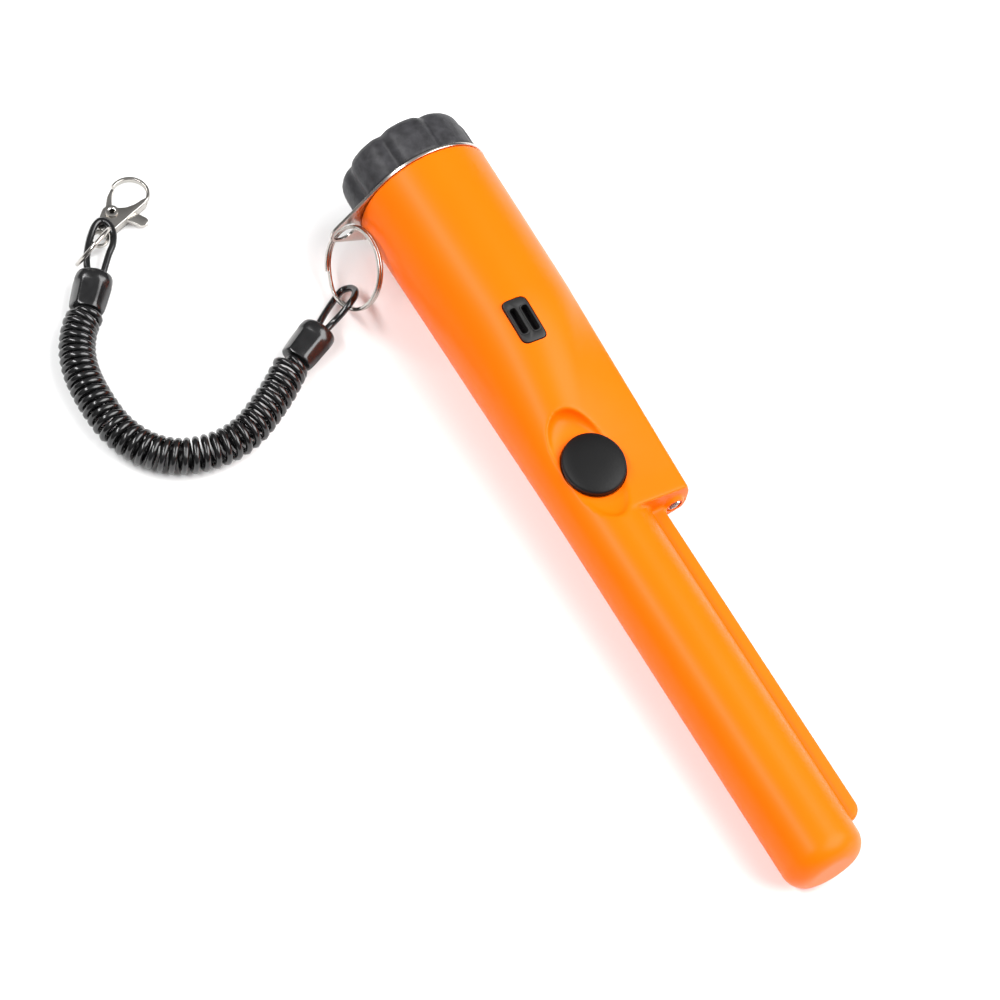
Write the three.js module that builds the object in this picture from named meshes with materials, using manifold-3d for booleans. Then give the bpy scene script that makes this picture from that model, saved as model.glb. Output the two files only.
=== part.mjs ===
// Pinpointer probe: hand-held metal locator with a screw battery cap and a curly lanyard.
// Millimetres, +Z up. The probe lies on its back: +X runs from cap to tip, the keel faces +Y
// and the push button faces up. Probe pieces are drawn with x = 0 at the cap's rear face and
// y = z = 0 on the grip's axis, then laid down until grip and tip touch the ground.
import * as THREE from 'three';
import { ConvexGeometry } from 'three/addons/geometries/ConvexGeometry.js';
import { mergeVertices } from 'three/addons/utils/BufferGeometryUtils.js';
import Module from 'manifold-3d';

const wasm = await Module();
wasm.setup();

// Driving dimensions
const length = 230;
const capLength = 13;
const washerThickness = 0.8;
const fitGap = 0.3;
const gripRadius = 19;
const gripEndRadius = 18.4;
const gripEndX = 58;
const taperEndX = 118;
const rodRadius = 10.95;
const rodSide = 18.05;
const tipRounding = 5.5;
const wall = 2;
const boreRadius = 16.6;
const stepX = 124.8;
const ridgeEndX = 221;
const ridgeTopY = 7.7;
const ridgeThickness = 2.6;
const buttonX = 109.7;
const buttonY = -5;
const buttonRise = 3.2;
const buttonSize = { x: 18.4, y: 17 };
const buttonWell = 0.9;
const buttonTravel = 0.6;
const seatFloorZ = 9;
const seatSize = { x: 33, y: 17.6 };
const seatX = 109.8;
const seatY = -6.2;
const seatFloorThickness = 1.6;
const stemHole = 6.6;
const stemRadius = 2.9;
const grille = { x: 68.3, y: -2.1, length: 13.2, width: 7, skew: 0.1, topZ: 17.8, slope: 5.8 };
const lampY = 10.8;
const lobeCount = 8;
const lobeGrooveAngle = 25.5;
const grooveDepth = 1.1;
const grooveHalfAngle = 5.5;
const lobeSwell = 0.35;
const capRadius = 18.7;
const lugReach = 23.8;
const lugAngle = 186.3;
const lugHoleRadius = 3.4;
const lugRadius = 4.3;
const ringMeanRadius = 11;
const ringWidth = 1;
const ringThickness = 1.5;
const ringHang = 1.35;
const ringSlope = 62;
const ringYaw = 3.6;
const cordDiameter = 1.9;
const coilDiameter = 10;
const sleeveLength = 11.7;
const claspThickness = 3.4;
const originX = 114.68;
const originY = -6.41;

const washerX = capLength + fitGap;
const mouthX = washerX + washerThickness + fitGap;
const boardTopZ = 0.6;
const boardZ = -1;
const lieAngle = Math.atan2(gripEndRadius - rodRadius, length - tipRounding - gripEndX);
const axisHeight = gripEndRadius * Math.cos(lieAngle) + gripEndX * Math.sin(lieAngle);
const rad = THREE.MathUtils.degToRad;

// Solids and meshes

function volumeOf(points, index) {
  const [a, b, c] = [new THREE.Vector3(), new THREE.Vector3(), new THREE.Vector3()];
  let sum = 0;
  for (let i = 0; i < index.length; i += 3) {
    a.fromArray(points, index[i] * 3);
    b.fromArray(points, index[i + 1] * 3);
    c.fromArray(points, index[i + 2] * 3);
    sum += a.dot(b.cross(c));
  }
  return sum / 6;
}

// A closed geometry becomes a solid with its faces pointing out.
function solid(geometry) {
  const bare = geometry.clone();
  bare.deleteAttribute('normal');
  bare.deleteAttribute('uv');
  const merged = mergeVertices(bare, 1e-4);
  const vertProperties = Float32Array.from(merged.attributes.position.array);
  const triVerts = Uint32Array.from(merged.index.array);
  if (volumeOf(vertProperties, triVerts) < 0) triVerts.reverse();
  return new wasm.Manifold(new wasm.Mesh({ numProp: 3, vertProperties, triVerts }));
}

function joined(...pieces) {
  return pieces.reduce((sum, piece) => sum.add(piece));
}

function look(color, roughness, metalness = 0) {
  return new THREE.MeshStandardMaterial({ color, roughness, metalness });
}

function part(name, shape, material) {
  const source = shape.getMesh();
  const geometry = new THREE.BufferGeometry();
  geometry.setAttribute('position', new THREE.BufferAttribute(Float32Array.from(source.vertProperties), 3));
  geometry.setIndex(new THREE.BufferAttribute(Uint32Array.from(source.triVerts), 1));
  geometry.computeVertexNormals();
  const mesh = new THREE.Mesh(geometry, material);
  mesh.name = name;
  return mesh;
}

// A profile of [x, radius] pairs turned about the X axis.
function turned(profile, segments = 40) {
  const points = profile.map(([x, radius]) => new THREE.Vector2(radius, x));
  return solid(new THREE.LatheGeometry(points, segments).rotateZ(-Math.PI / 2));
}

function rod(x0, x1, radius, segments = 32) {
  return turned([[x0, 0], [x0, radius], [x1, radius], [x1, 0]], segments);
}

function tube(x0, x1, outer, inner, segments = 32) {
  return turned([[x0, inner], [x0, outer], [x1, outer], [x1, inner], [x0, inner]], segments);
}

// The same about the Z axis, with [z, radius] pairs.
function turnedUp(profile, segments = 32) {
  const points = profile.map(([z, radius]) => new THREE.Vector2(radius, z));
  return solid(new THREE.LatheGeometry(points, segments).rotateX(Math.PI / 2));
}

function block(x0, x1, y0, y1, z0, z1) {
  const geometry = new THREE.BoxGeometry(x1 - x0, y1 - y0, z1 - z0);
  return solid(geometry.translate((x0 + x1) / 2, (y0 + y1) / 2, (z0 + z1) / 2));
}

// A flat outline in X and Y, raised from z0 to z1.
function raised(shape, z0, z1, curveSegments = 8) {
  const options = { depth: z1 - z0, bevelEnabled: false, curveSegments };
  return solid(new THREE.ExtrudeGeometry(shape, options).translate(0, 0, z0));
}

function ellipse(sizeX, sizeY) {
  const shape = new THREE.Shape();
  shape.absellipse(0, 0, sizeX / 2, sizeY / 2, 0, Math.PI * 2);
  return shape;
}

// A rectangle with round corners; skew slides its +Y side along X.
function roundedRectangle(sizeX, sizeY, corner, skew = 0) {
  const [hx, hy] = [sizeX / 2, sizeY / 2];
  const centres = [[hx - corner, hy - corner], [corner - hx, hy - corner],
    [corner - hx, corner - hy], [hx - corner, corner - hy]];
  const points = centres.flatMap(([cx, cy], quarter) => [0, 1, 2, 3].map((step) => {
    const angle = (quarter + step / 3) * Math.PI / 2;
    const y = cy + corner * Math.sin(angle);
    return new THREE.Vector2(cx + corner * Math.cos(angle) + skew * y, y);
  }));
  return new THREE.Shape(points);
}

// A round section carried along a curve through points.
function cordAlong(points, diameter, steps, sides = 8) {
  const curve = new THREE.CatmullRomCurve3(points.map((p) => new THREE.Vector3(...p)));
  const section = new THREE.Shape();
  section.absarc(0, 0, diameter / 2, 0, Math.PI * 2);
  const options = { steps, extrudePath: curve, bevelEnabled: false, curveSegments: sides };
  return solid(new THREE.ExtrudeGeometry(section, options));
}

// Body shell: one moulding. Its section at x is the hull of a circle and of the keel's arc.

function taperAt(x) {
  const t = THREE.MathUtils.clamp((x - gripEndX) / (taperEndX - gripEndX), 0, 1);
  return t * t * (3 - 2 * t);
}

function sectionAt(x, inset) {
  const s = taperAt(x);
  const along = THREE.MathUtils.clamp((x - gripEndX) / (taperEndX - gripEndX), 0, 1);
  const radius = THREE.MathUtils.lerp(gripEndRadius, rodRadius, s);
  const side = THREE.MathUtils.lerp(gripEndRadius, rodSide, along);
  const stepRounding = 2.4;
  const past = Math.max(0, x - (stepX - stepRounding)) / stepRounding;
  const shrink = stepRounding * (1 - Math.sqrt(Math.max(0, 1 - past * past)));
  return {
    centreY: radius - side,
    radius: radius - inset,
    keelRadius: gripEndRadius - 0.038 * (x - gripEndX) - inset - shrink,
    keelHalf: THREE.MathUtils.lerp(8.2, 5.8, along) - 0.7 * inset - 0.7 * shrink,
  };
}

function sectionPoints(x, inset) {
  const { centreY, radius, keelRadius, keelHalf } = sectionAt(x, inset);
  const points = [];
  const circleSteps = 36;
  for (let i = 0; i < circleSteps; i += 1) {
    const angle = i * 2 * Math.PI / circleSteps;
    points.push(new THREE.Vector3(x, centreY + radius * Math.cos(angle), radius * Math.sin(angle)));
  }
  const keelAngle = Math.asin(keelHalf / keelRadius);
  const keelSteps = 6;
  for (let i = 0; i <= keelSteps; i += 1) {
    const angle = keelAngle * (2 * i / keelSteps - 1);
    points.push(new THREE.Vector3(x, keelRadius * Math.cos(angle), keelRadius * Math.sin(angle)));
  }
  return points;
}

function loftedBody(stations, inset) {
  const spans = stations.slice(1).map((x, i) => solid(new ConvexGeometry(
    [...sectionPoints(stations[i], inset), ...sectionPoints(x, inset)])));
  return joined(...spans);
}

function roundedRod(x0, radius, endX, rounding) {
  const profile = [[x0, 0], [x0, radius]];
  const steps = 5;
  for (let i = 0; i <= steps; i += 1) {
    const angle = i / steps * Math.PI / 2;
    const [rise, reach] = [rounding * Math.cos(angle), rounding * Math.sin(angle)];
    profile.push([endX - rounding + reach, radius - rounding + rise]);
  }
  profile.push([endX, 0]);
  return turned(profile, 36).translate([0, rodRadius - rodSide, 0]);
}

function scraperRidge() {
  const rootY = ridgeTopY - 6;
  const corner = 3.4;
  const shape = new THREE.Shape();
  shape.moveTo(stepX - 2, rootY);
  shape.lineTo(ridgeEndX, rootY);
  shape.lineTo(ridgeEndX, ridgeTopY - corner);
  shape.absarc(ridgeEndX - corner, ridgeTopY - corner, corner, 0, Math.PI / 2, false);
  shape.lineTo(stepX - 2, ridgeTopY);
  return raised(shape, -ridgeThickness / 2, ridgeThickness / 2, 4);
}

const orange = look(0xf47a12, 0.5);
const insideX = length - 3.5;

function bodyShell() {
  const grip = turned([[mouthX, 0], [mouthX, gripRadius - 0.6], [mouthX + 0.6, gripRadius],
    [gripEndX, gripEndRadius], [gripEndX, 0]], 36);
  const outside = loftedBody([gripEndX, 66, 74, 82, 90, 98, 106, 114, 122.4, 123.6, stepX], 0);
  const lampRim = rod(stepX - 2, stepX + 1.1, 3.1, 24).translate([0, lampY, 0]);
  const body = joined(grip, outside, roundedRod(taperEndX, rodRadius, length, tipRounding), scraperRidge(),
    lampRim);
  const bay = turned([[mouthX - 1, 0], [mouthX - 1, boreRadius], [gripEndX, gripEndRadius - wall],
    [gripEndX, 0]], 36);
  const hollow = loftedBody([gripEndX, 70, 82, 94, 106, 115, stepX - 2.4], wall);
  const rodHollow = roundedRod(taperEndX - 8, rodRadius - wall, insideX, tipRounding - wall);
  const seat = raised(ellipse(seatSize.x, seatSize.y), seatFloorZ, 25, 32).translate([seatX, seatY, 0]);
  const seatFloor = raised(ellipse(seatSize.x + 3, seatSize.y + 3), seatFloorZ - seatFloorThickness, 25, 32)
    .translate([seatX, seatY, 0]);
  const well = raised(ellipse(buttonSize.x, buttonSize.y), seatFloorZ - buttonWell, seatFloorZ + 1, 20)
    .translate([buttonX, buttonY, 0]);
  const stemBore = raised(ellipse(stemHole, stemHole), 0, 25, 12).translate([buttonX, buttonY, 0]);
  const grilleHole = inGrille(raised(roundedRectangle(grille.length, grille.width, 1.5, grille.skew), -6, 6));
  const lampHole = rod(stepX - 4, stepX + 2, 2.35, 24).translate([0, lampY, 0]);
  return part('body_shell', body.subtract(joined(bay, hollow, rodHollow).subtract(seatFloor))
    .subtract(seat).subtract(well).subtract(stemBore).subtract(grilleHole).subtract(lampHole), orange);
}

// Button and tact switch

const rubberBlack = look(0x17181a, 0.75);
const metalBright = look(0xc9cacc, 0.25, 1);

function buttonPad() {
  const rim = 0.6;
  const foot = buttonTravel + 0.15 - buttonWell;
  const dome = [[foot, 0], [foot, 1], [buttonRise - 1.4, 1], [buttonRise - 0.9, 0.95],
    [buttonRise - 0.4, 0.83], [buttonRise - 0.1, 0.6], [buttonRise, 0.3], [buttonRise, 0]];
  const pad = turnedUp(dome, 36)
    .scale([(buttonSize.x - rim) / 2, (buttonSize.y - rim) / 2, 1]).translate([0, 0, seatFloorZ]);
  const stem = turnedUp([[5.5, 0], [5.5, 1.6], [7, stemRadius], [seatFloorZ + 0.6, stemRadius],
    [seatFloorZ + 0.6, 0]], 20);
  return part('button_pad', pad.add(stem).translate([buttonX, buttonY, 0]), rubberBlack);
}

function switchBody() {
  const half = 3;
  const box = block(-half, half, -half, half, boardTopZ + 0.05, 4.1);
  const bore = turnedUp([[3.1, 0], [3.1, 1.75], [6, 1.75], [6, 0]], 20);
  return part('switch_body', box.subtract(bore).translate([buttonX, buttonY, 0]), look(0x2b2b2e, 0.6));
}

function switchPlunger() {
  const pin = turnedUp([[3.5, 0], [3.5, 1.65], [5.1, 1.65], [5.1, 0]], 20);
  return part('switch_plunger', pin.translate([buttonX, buttonY, 0]), look(0x111111, 0.5));
}

// Sounder, gauze and grille. The grille lies in the taper's slope.

function inGrille(shape) {
  return shape.rotate([0, grille.slope, 0]).translate([grille.x, grille.y, grille.topZ]);
}

function grilleInsert() {
  const clear = 0.6;
  const outline = roundedRectangle(grille.length - clear, grille.width - clear, 1.3, grille.skew);
  const plug = raised(outline, -2.8, 0);
  const slot = raised(roundedRectangle(7.6, 1.9, 0.9), -6, 6);
  const slots = joined(slot.translate([-0.2, -1.6, 0]), slot.translate([0.2, 1.6, 0]));
  return part('grille_insert', inGrille(plug.subtract(slots)), look(0x232326, 0.6));
}

function soundGauze() {
  const sheet = raised(roundedRectangle(11.4, 5.4, 1, grille.skew), -3.4, -3.1);
  return part('sound_gauze', inGrille(sheet), look(0x3a3034, 0.9));
}

function sounder() {
  const disc = turnedUp([[9.2, 0], [9.2, 6], [12.4, 6], [12.8, 5.6], [12.8, 1.2], [12, 1.2], [12, 0]], 28);
  return part('sounder', disc.translate([grille.x, grille.y, 0]), look(0x1c1c1e, 0.45));
}

// Battery, its clip and leads

const battery = { x0: 20.3, x1: 66.5, halfY: 13.1, halfZ: 8.6, y: -0.2, z: -0.8 };

function batteryCase() {
  const outline = roundedRectangle(battery.halfY * 2, battery.halfZ * 2, 1.6);
  const depth = battery.x1 - battery.x0;
  const geometry = new THREE.ExtrudeGeometry(outline, { depth, bevelEnabled: false });
  geometry.rotateX(Math.PI / 2).rotateZ(Math.PI / 2).translate(battery.x0, battery.y, battery.z);
  return part('battery_case', solid(geometry), look(0x3d4a5c, 0.4));
}

function terminals() {
  const plus = rod(battery.x1 + 0.05, battery.x1 + 2.2, 2.9, 24).translate([0, 6.3, battery.z]);
  const minus = tube(battery.x1 + 0.05, battery.x1 + 2.2, 4, 3.3, 6).translate([0, -6.3, battery.z]);
  return [part('terminal_plus', plus, metalBright), part('terminal_minus', minus, metalBright)];
}

function snapConnector() {
  const outline = roundedRectangle(25, 12, 3);
  const geometry = new THREE.ExtrudeGeometry(outline, { depth: 3.2, bevelEnabled: false });
  geometry.rotateX(Math.PI / 2).rotateZ(Math.PI / 2).translate(battery.x1 + 2.5, 0, battery.z);
  return part('snap_connector', solid(geometry), look(0x1d1d1f, 0.6));
}

function batteryLeads() {
  const start = battery.x1 + 6;
  const routes = { lead_red: 2.2, lead_black: -2.6 };
  const colours = { lead_red: 0xa8201c, lead_black: 0x151515 };
  return Object.entries(routes).map(([name, y]) => part(name, cordAlong([
    [start, y, battery.z], [start + 3.2, y - 0.5, battery.z + 1], [start + 6.4, y - 2.5, 2.6],
    [start + 9.4, y - 4, 2.6], [start + 12, y - 4.5, boardTopZ + 0.9]], 1.2, 12), look(colours[name], 0.5)));
}

// Electronics carrier, board and what is soldered to it

const boardY = rodRadius - rodSide;

function boardCarrier() {
  const bulkheadX = 77.2;
  const { centreY, radius } = sectionAt(bulkheadX, wall + 0.5);
  const bulkhead = rod(bulkheadX - 1.2, bulkheadX, radius).translate([0, centreY, 0]);
  const tray = block(bulkheadX - 0.5, 156, boardY - 6.1, boardY + 6.1, -5, -3.8);
  const rails = [-1, 1].map((side) => block(bulkheadX - 0.5, 156, boardY + side * 6.1 - 0.6,
    boardY + side * 6.1 + 0.6, -5, boardZ - 0.3));
  const leadWindow = block(bulkheadX - 3, bulkheadX + 3, -8.2, 3.4, -3, 6);
  return part('board_carrier', joined(bulkhead.subtract(leadWindow), tray, ...rails), look(0xd8d6cf, 0.6));
}

function circuitBoard() {
  return part('circuit_board', block(80, 154, boardY - 6.4, boardY + 6.4, boardZ, boardTopZ - 0.05),
    look(0x1f6b3a, 0.45));
}

function controlChip() {
  return part('control_chip', block(90, 98, boardY - 2.5, boardY + 2.5, boardTopZ, 2.3), look(0x1b1b1d, 0.5));
}

function storageCapacitor() {
  const can = turnedUp([[boardTopZ + 0.1, 0], [boardTopZ + 0.1, 2.5], [6.2, 2.5], [6.6, 2.1], [6.6, 0]], 20);
  return part('storage_capacitor', can.translate([101.6, boardY, 0]), look(0x2a3b66, 0.35));
}

function vibrationMotor() {
  const z = boardTopZ + 3.3;
  const place = (shape) => shape.translate([0, boardY, z]);
  const can = tube(131, 142, 3, 0.6, 24);
  const shaft = rod(137, 146.4, 0.5, 12);
  const half = tube(143, 146, 2.6, 0.55, 24).subtract(block(142, 147, -3, 3, 0.3, 4));
  const hub = tube(143, 146, 1.1, 0.55, 16);
  return [part('motor_can', place(can), metalBright),
    part('motor_shaft', place(shaft), look(0x8d8f92, 0.3, 1)),
    part('motor_weight', place(half.add(hub)), look(0x77726a, 0.4, 1))];
}

// Lamp in the step face

function lampParts() {
  const place = (shape) => shape.translate([0, lampY, 0]);
  const lens = turned([[stepX - 2.6, 0], [stepX - 2.6, 2.05], [stepX + 0.9, 2.05], [stepX + 1.5, 1.6],
    [stepX + 1.8, 0.8], [stepX + 1.9, 0]], 20);
  const lamp = turned([[stepX - 9.5, 0], [stepX - 9.5, 2.2], [stepX - 8.6, 2.2], [stepX - 8.6, 1.75],
    [stepX - 4.4, 1.75], [stepX - 3.3, 1.2], [stepX - 3, 0]], 20);
  const lead = cordAlong([[stepX - 10.3, lampY, 0], [stepX - 10.9, lampY - 3, 0.6],
    [stepX - 10.3, lampY - 8, 1.6], [stepX - 10.2, boardY + 4.6, boardTopZ + 0.9]], 1.2, 10);
  return [part('lamp_lens', place(lens), look(0xe8ecef, 0.1)), part('lamp', place(lamp), look(0xf4f2e6, 0.3)),
    part('lamp_lead', lead, look(0xb9bcc0, 0.5))];
}

// Search coil in the rod

const coilAxisY = rodRadius - rodSide;

function searchCoil() {
  const place = (shape) => shape.translate([0, coilAxisY, 0]);
  const core = rod(160, 222, 3.4, 24);
  const bobbin = turned([[168, 3.7], [168, 6.6], [169.2, 6.6], [169.2, 4.5], [216.8, 4.5], [216.8, 6.6],
    [218, 6.6], [218, 3.7], [168, 3.7]], 28);
  const winding = tube(169.5, 216.5, 6.1, 4.8, 32);
  const collar = (x0, x1) => tube(x0, x1, rodRadius - wall - 0.3, 3.7, 28);
  const lead = cordAlong([[154.4, boardY, boardTopZ - 0.4], [158, boardY, 4.4], [162, boardY, 7.4],
    [166.5, coilAxisY, 7.55], [169.6, coilAxisY, 7.3]], 1.2, 10);
  const rearCollar = collar(161, 164).subtract(block(160, 165, -1.4, 1.4, 5, 12));
  return [part('ferrite_rod', place(core), look(0x2e2c2b, 0.7)),
    part('coil_bobbin', place(bobbin), look(0xe9e5da, 0.5)),
    part('search_winding', place(winding), look(0xa2552a, 0.35, 0.8)),
    part('coil_collar_rear', place(rearCollar), look(0x4b4b4d, 0.95)),
    part('coil_collar_tip', place(collar(219, 222)), look(0x4b4b4d, 0.95)),
    part('coil_lead', lead, look(0x8a4a22, 0.4, 0.5))];
}

// Battery cap, its seal and pad, and the lanyard washer under it

function batteryCap() {
  const outline = new THREE.Shape(Array.from({ length: 96 }, (_, i) => {
    const angle = i * 2 * Math.PI / 96;
    const pitch = 2 * Math.PI / lobeCount;
    const fromFirst = angle - rad(lobeGrooveAngle);
    const fromGroove = fromFirst - pitch * Math.round(fromFirst / pitch);
    const radius = capRadius - grooveDepth * Math.exp(-((fromGroove / rad(grooveHalfAngle)) ** 2))
      - lobeSwell * (1 - Math.abs(fromGroove / pitch * 2));
    return new THREE.Vector2(-radius * Math.sin(angle), radius * Math.cos(angle));
  }));
  const lobed = solid(new THREE.ExtrudeGeometry(outline, { depth: capLength, bevelEnabled: false })
    .rotateX(Math.PI / 2).rotateZ(Math.PI / 2));
  const rim = turned([[0, 0], [0, 14.6], [0.8, 16.6], [2.4, 18.1], [4.4, 19.2], [capLength, 19.2],
    [capLength, 0]]);
  const spigot = rod(capLength - 1, mouthX + 5.2, boreRadius - 0.6);
  const sealGroove = tube(mouthX + 1, mouthX + 3, boreRadius, boreRadius - 1.8);
  const hollow = rod(3, mouthX + 6, 14);
  return part('battery_cap', lobed.intersect(rim).add(spigot).subtract(sealGroove).subtract(hollow),
    look(0x47484b, 0.7));
}

function capSeal() {
  const centre = boreRadius - 0.95;
  const points = Array.from({ length: 9 }, (_, i) => [mouthX + 2 + 0.75 * Math.cos(i * Math.PI / 4),
    centre + 0.75 * Math.sin(i * Math.PI / 4)]);
  return part('cap_seal', turned(points), look(0x101010, 0.6));
}

function capPad() {
  return part('cap_pad', rod(3.3, 11, 13.4), look(0x3b3b3d, 0.95));
}

const lugY = lugReach * Math.cos(rad(lugAngle));
const lugZ = lugReach * Math.sin(rad(lugAngle));

function lanyardWasher() {
  const ringPoints = Array.from({ length: 48 }, (_, i) => [gripRadius * 1.012, i * 2 * Math.PI / 48, 0, 0]);
  const lugPoints = Array.from({ length: 24 }, (_, i) => [lugRadius, i * 2 * Math.PI / 24, lugY, lugZ]);
  const rims = [washerX, washerX + washerThickness].flatMap((x) => [...ringPoints, ...lugPoints].map(
    ([r, a, y, z]) => new THREE.Vector3(x, y + r * Math.cos(a), z + r * Math.sin(a))));
  const plate = solid(new ConvexGeometry(rims));
  const eye = rod(washerX - 2, washerX + 3, boreRadius, 40);
  const lugHole = rod(washerX - 2, washerX + 3, lugHoleRadius, 24).translate([0, lugY, lugZ]);
  return part('lanyard_washer', plate.subtract(eye).subtract(lugHole), look(0xc4c5c8, 0.3, 1));
}

// Split ring: it goes through the lug's hole and round its rim, and leans on the grip.

const ringUp = new THREE.Vector3(0, Math.cos(rad(ringSlope)), Math.sin(rad(ringSlope)));
const lugRimMiddle = (lugHoleRadius + lugRadius) / 2;
const ringAcross = new THREE.Vector3(1, 0, 0).applyAxisAngle(ringUp, -rad(ringYaw));
const ringNormal = ringAcross.clone().cross(ringUp);
const ringCentre = new THREE.Vector3(washerX + washerThickness / 2, lugY, lugZ)
  .addScaledVector(ringUp, -lugRimMiddle)
  .addScaledVector(ringAcross, ringMeanRadius - ringHang);

function flatRing(meanRadius, width, thickness, segments) {
  const [r0, r1, h] = [meanRadius - width / 2, meanRadius + width / 2, thickness / 2];
  const profile = [[r0, -h], [r1, -h], [r1, h], [r0, h], [r0, -h]].map(([r, y]) => new THREE.Vector2(r, y));
  return new THREE.LatheGeometry(profile, segments);
}

function splitRing() {
  const mesh = part('split_ring', solid(flatRing(ringMeanRadius, ringWidth, ringThickness, 40)), metalBright);
  mesh.quaternion.setFromUnitVectors(new THREE.Vector3(0, 1, 0), ringNormal);
  mesh.position.copy(ringCentre);
  return mesh;
}

// Lanyard, laid on the ground. Places are measured from below the cap's rear face and the grip's axis.

const nearLoopRoute = [
  [28.4, -38.8, 5.2], [25.6, -35.2, 4], [22.4, -30.7, 2.3], [21.2, -28.3, 2.1], [22.5, -26.4, 3.8],
  [25.1, -26.5, 6.2], [27.6, -28.2, 8], [29.5, -30.8, 9], [30.5, -33.7, 7.8], [31, -36.4, 6.2],
  [31.2, -37.4, 5.6],
];
const coilRoute = [
  [36.4, -51, 5.2], [37.7, -53.3, 5.2], [41.4, -58.2, 5.2], [45.4, -64.6, 5.2], [48.8, -71.4, 5.2],
  [50.1, -78.6, 5.2], [49.2, -86, 5.2], [46.4, -92.4, 5.2], [41, -97.8, 5.2], [32.6, -101.6, 5.2],
  [22.6, -102.6, 5.2], [13.4, -102, 5.2], [6.4, -99.9, 5.2], [0.9, -96.5, 5.2], [-1.5, -94, 5.2],
  [-3.2, -92.5, 5.2],
];
const farLoopRoute = [
  [-14.7, -86, 5.4], [-18.2, -84.4, 5.4], [-21.4, -82.3, 5.4], [-24.3, -79.9, 5.4], [-26.5, -77.5, 5.4],
  [-27, -75.5, 5.4], [-25.1, -74.2, 5.3], [-22, -74.5, 5.2], [-18.9, -76.2, 5.3], [-16.2, -78.9, 5.4],
  [-11.6, -83, 5.4],
];
const glossBlack = look(0x141416, 0.3);

// A crimped sleeve between two places: an oval tube end on, wider at the loop side, pinched at the coil.
function sleeve(name, loopEnd, coilEnd) {
  const [from, to] = [new THREE.Vector3(...loopEnd), new THREE.Vector3(...coilEnd)];
  const axis = to.clone().sub(from).normalize();
  const geometry = new THREE.LatheGeometry([[0, 0], [4.6, 0], [5.2, 0.8], [5.1, 5], [4.7, sleeveLength - 0.6],
    [4.3, sleeveLength], [0, sleeveLength]].map(([r, y]) => new THREE.Vector2(r, y)), 24);
  geometry.scale(1, 1, 0.8);
  const across = new THREE.Vector3(0, 0, 1).cross(axis).normalize();
  const frame = new THREE.Matrix4().makeBasis(across, axis, new THREE.Vector3().crossVectors(across, axis));
  return part(name, solid(geometry.applyMatrix4(frame).translate(from.x, from.y, from.z)), glossBlack);
}

function lanyardCord() {
  return [
    part('near_loop', cordAlong(nearLoopRoute, cordDiameter, 30), glossBlack),
    sleeve('near_sleeve', [30.7, -40.2, 5.1], [36, -50.3, 5.2]),
    part('curly_cord', cordAlong(coilRoute, coilDiameter, 30, 12), glossBlack),
    sleeve('far_sleeve', [-12.7, -84.7, 5.1], [-3.9, -91.9, 5.2]),
    part('far_loop', cordAlong(farLoopRoute, cordDiameter, 30), glossBlack),
  ];
}

// Snap hook. Its own plan axes: a points from the rivet to the bow, b towards the spine.

const rivetAt = { x: -29.15, y: -71.25, z: 0.5 };
const claspTurn = Math.atan2(0.903, -0.43);
const bow = { a: 7.9, b: 0.1, outer: 5.6, inner: 4.5 };
const linkRing = { x: -19.7, y: -81.6, z: 7, meanRadius: 6.4, wire: 1.2 };
const tailEye = { a: -8.7, b: -2.4, hole: 1.8, outer: 2.8 };
const rivetBore = 2.3;
const gateLow = 1.05;
const gateHigh = 2.35;
const springRadius = 2.5;
const springWire = 0.5;

function outlined(points) {
  return new THREE.Shape(points.map(([a, b]) => new THREE.Vector2(a, b)));
}

function bowSector(from, to) {
  const shape = new THREE.Shape();
  shape.absarc(bow.a, bow.b, bow.outer, rad(from), rad(to), false);
  shape.absarc(bow.a, bow.b, bow.inner, rad(to), rad(from), true);
  return shape;
}

function claspBody() {
  const top = claspThickness;
  const hook = raised(bowSector(-80, 98), 0.7, top - 0.7, 20);
  const cheeks = raised(outlined([[9.6, -5.1], [8, -5.5], [-4.2, -3.9], [-6.4, -3.7], [-6.4, 0.6],
    [-2.6, 1.9], [-0.6, 2.6], [1.4, 2], [2, -0.6], [4.2, -2.9], [8.4, -4.3]]), 0, top);
  const tail = raised(ellipse(tailEye.outer * 2, tailEye.outer * 2), 2.1, top, 16)
    .translate([tailEye.a, tailEye.b, 0]);
  const tailCut = block(-12, -5, -8, 3, -1, 2.1);
  const slot = block(-3, 6.6, -8, 6, 0.9, 2.5);
  const eye = raised(ellipse(tailEye.hole * 2, tailEye.hole * 2), -1, 5, 12)
    .translate([tailEye.a, tailEye.b, 0]);
  const rivetHole = raised(ellipse(rivetBore, rivetBore), -1, 5, 12);
  return part('clasp_body', joined(hook, cheeks.subtract(tailCut), tail).subtract(slot).subtract(eye)
    .subtract(rivetHole), metalBright);
}

function claspGate() {
  const boss = raised(ellipse(3.8, 3.8), gateLow, gateHigh, 16);
  const arm = raised(outlined([[-0.6, 1.9], [1.2, 0.9], [4.3, 3.2], [6.6, 4], [6.4, 5.2], [3.6, 4.4]]),
    gateLow, gateHigh);
  const lever = raised(outlined([[-0.8, -1.2], [1.9, -1], [4.2, -5], [4.6, -8.8], [3.9, -9.6], [2.6, -9.8],
    [1.4, -8.7], [0.8, -5.2]]), gateLow, gateHigh);
  const rivetHole = raised(ellipse(rivetBore, rivetBore), -1, 5, 12);
  return part('clasp_gate', joined(boss, arm, lever).subtract(rivetHole), look(0xb9b9bb, 0.3, 1));
}

function claspRivet() {
  const profile = [[-0.35, 0.6], [-0.35, 1.5], [-0.05, 1.5], [-0.05, 0.95], [3.45, 0.95], [3.45, 1.9],
    [3.85, 1.7], [3.85, 0.6], [-0.35, 0.6]];
  return part('clasp_rivet', turnedUp(profile, 20), metalBright);
}

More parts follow.
